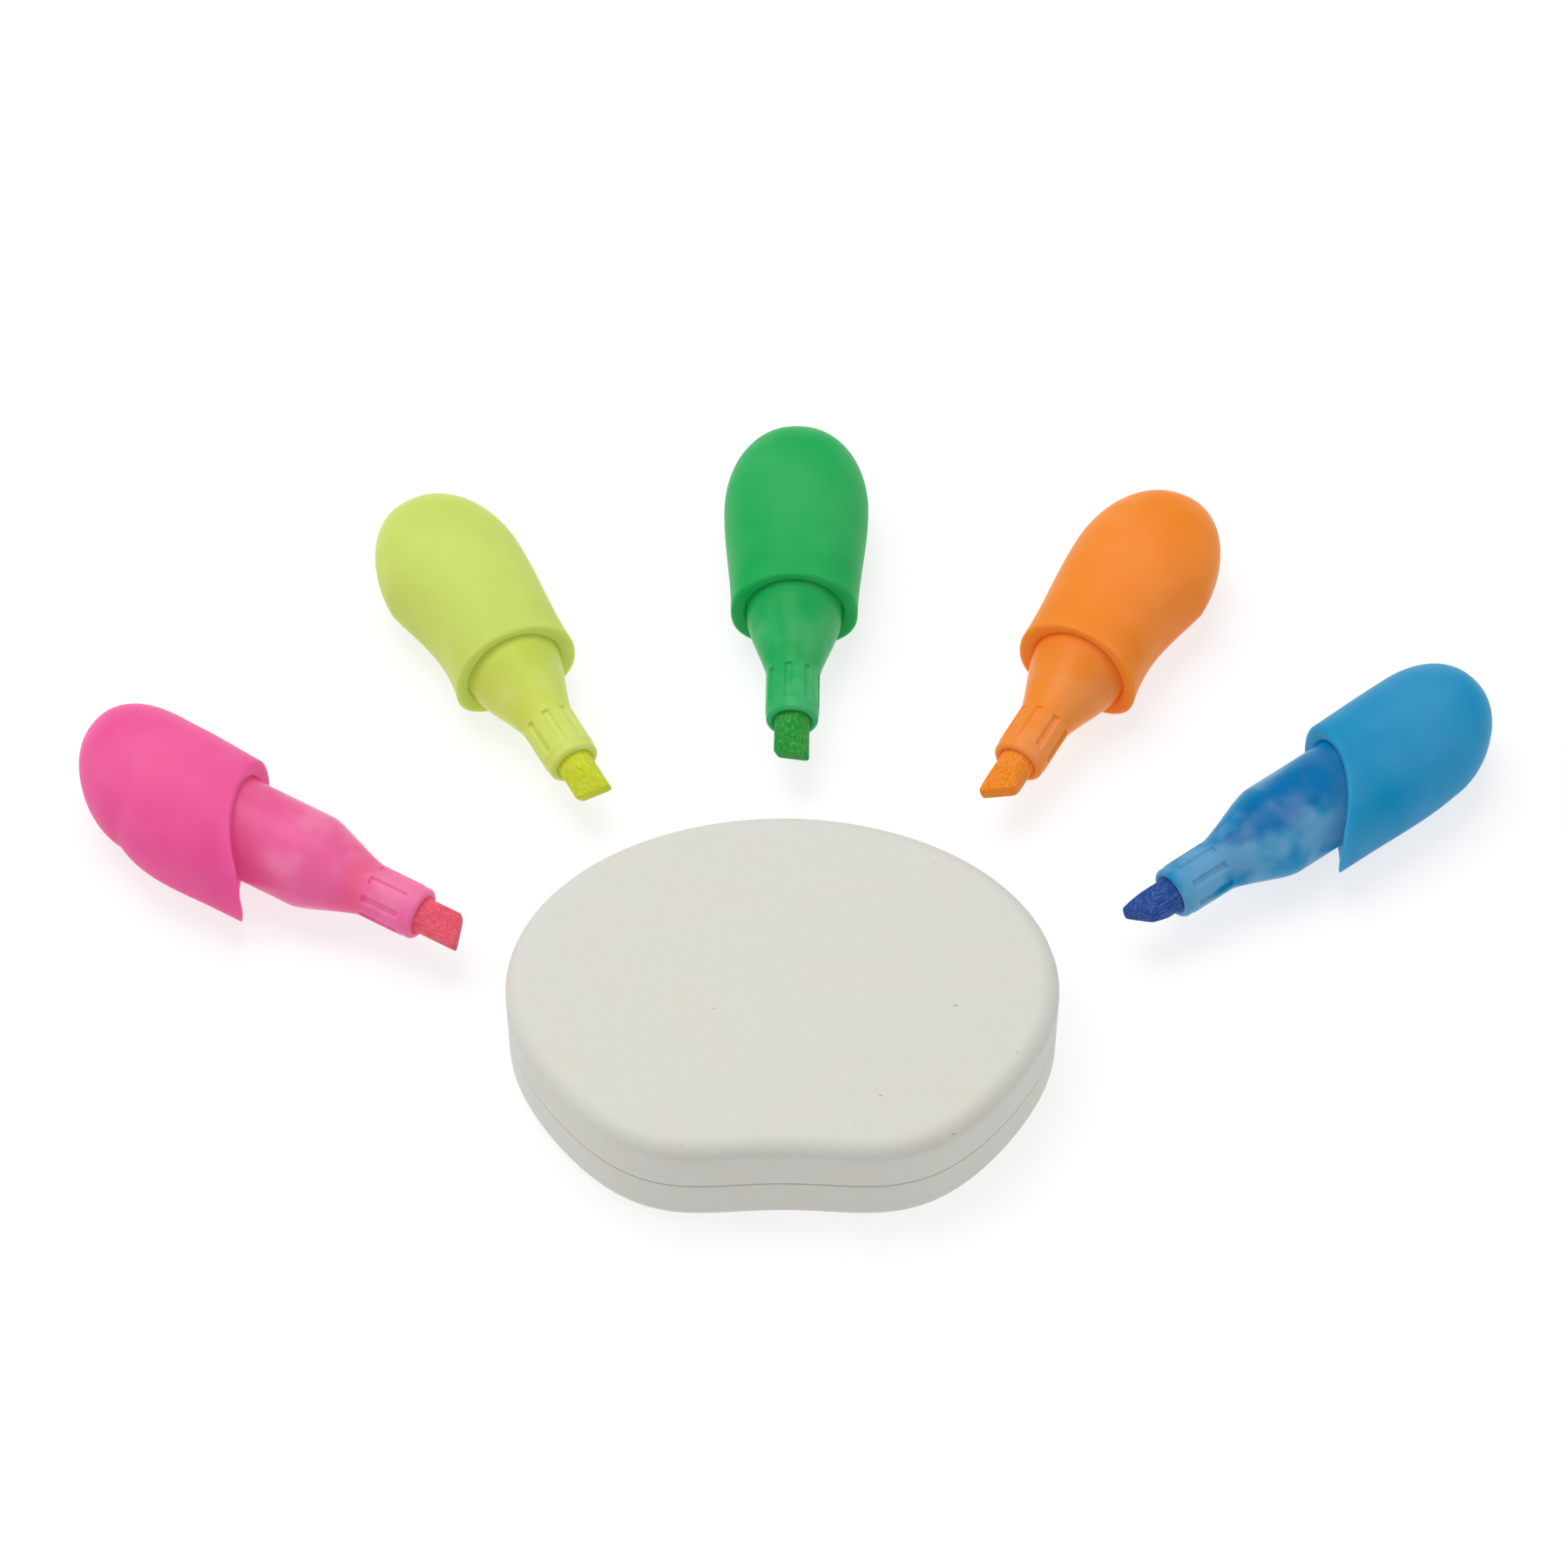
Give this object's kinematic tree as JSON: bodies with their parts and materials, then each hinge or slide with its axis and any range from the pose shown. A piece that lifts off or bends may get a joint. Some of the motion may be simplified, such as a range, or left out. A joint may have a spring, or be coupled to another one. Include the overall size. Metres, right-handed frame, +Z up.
{
  "type": "highlighter set",
  "caption": "Short translucent highlighters with chisel nibs, fanned out behind the bean-shaped case that they plug into nib-first and stow in.",
  "frame": {"origin": "centre of the case's flat underside", "axes": "+Z up out of the case's flat top, +X along the case's length, +Y out of its rounded far side, where the highlighters are"},
  "size_m": [0.1871, 0.1219, 0.016],
  "materials": {
    "case_plastic": "matte off-white plastic with plant-fibre specks",
    "sleeve_plastic": "plain natural plastic",
    "pink_shell_plastic": "satin translucent plastic",
    "pink_barrel_plastic": "satin translucent plastic, clearer than the shell",
    "pink_felt": "ink-soaked felt",
    "yellow_shell_plastic": "satin translucent plastic",
    "yellow_barrel_plastic": "satin translucent plastic, clearer than the shell",
    "yellow_felt": "ink-soaked felt",
    "green_shell_plastic": "satin translucent plastic",
    "green_barrel_plastic": "satin translucent plastic, clearer than the shell",
    "green_felt": "ink-soaked felt",
    "orange_shell_plastic": "satin translucent plastic",
    "orange_barrel_plastic": "satin translucent plastic, clearer than the shell",
    "orange_felt": "ink-soaked felt",
    "blue_shell_plastic": "satin translucent plastic",
    "blue_barrel_plastic": "satin translucent plastic, clearer than the shell",
    "blue_felt": "ink-soaked felt"
  },
  "bodies": {
    "case": {"case_bottom_shell": "case_plastic", "case_top_shell": "case_plastic", "pink_cap_sleeve": "sleeve_plastic", "yellow_cap_sleeve": "sleeve_plastic", "green_cap_sleeve": "sleeve_plastic", "orange_cap_sleeve": "sleeve_plastic", "blue_cap_sleeve": "sleeve_plastic"},
    "pink_highlighter": {"pink_shell": "pink_shell_plastic", "pink_barrel": "pink_barrel_plastic", "pink_nib": "pink_felt", "pink_reservoir": "pink_felt", "pink_tail_plug": "pink_shell_plastic"},
    "yellow_highlighter": {"yellow_shell": "yellow_shell_plastic", "yellow_barrel": "yellow_barrel_plastic", "yellow_nib": "yellow_felt", "yellow_reservoir": "yellow_felt", "yellow_tail_plug": "yellow_shell_plastic"},
    "green_highlighter": {"green_shell": "green_shell_plastic", "green_barrel": "green_barrel_plastic", "green_nib": "green_felt", "green_reservoir": "green_felt", "green_tail_plug": "green_shell_plastic"},
    "orange_highlighter": {"orange_shell": "orange_shell_plastic", "orange_barrel": "orange_barrel_plastic", "orange_nib": "orange_felt", "orange_reservoir": "orange_felt", "orange_tail_plug": "orange_shell_plastic"},
    "blue_highlighter": {"blue_shell": "blue_shell_plastic", "blue_barrel": "blue_barrel_plastic", "blue_nib": "blue_felt", "blue_reservoir": "blue_felt", "blue_tail_plug": "blue_shell_plastic"}
  },
  "joints": [
    {"name": "pink_stow", "type": "slide", "parent": "case", "child": "pink_highlighter", "axis": [0.866, -0.5, 0], "range_m": [0, 0.0404]},
    {"name": "yellow_stow", "type": "slide", "parent": "case", "child": "yellow_highlighter", "axis": [0.4802, -0.8771, 0], "range_m": [0, 0.0372]},
    {"name": "green_stow", "type": "slide", "parent": "case", "child": "green_highlighter", "axis": [-0.0175, -0.9998, 0], "range_m": [0, 0.0388]},
    {"name": "orange_stow", "type": "slide", "parent": "case", "child": "orange_highlighter", "axis": [-0.4879, -0.8729, 0], "range_m": [0, 0.0389]},
    {"name": "blue_stow", "type": "slide", "parent": "case", "child": "blue_highlighter", "axis": [-0.8039, -0.5948, 0], "range_m": [0, 0.0469]}
  ]
}
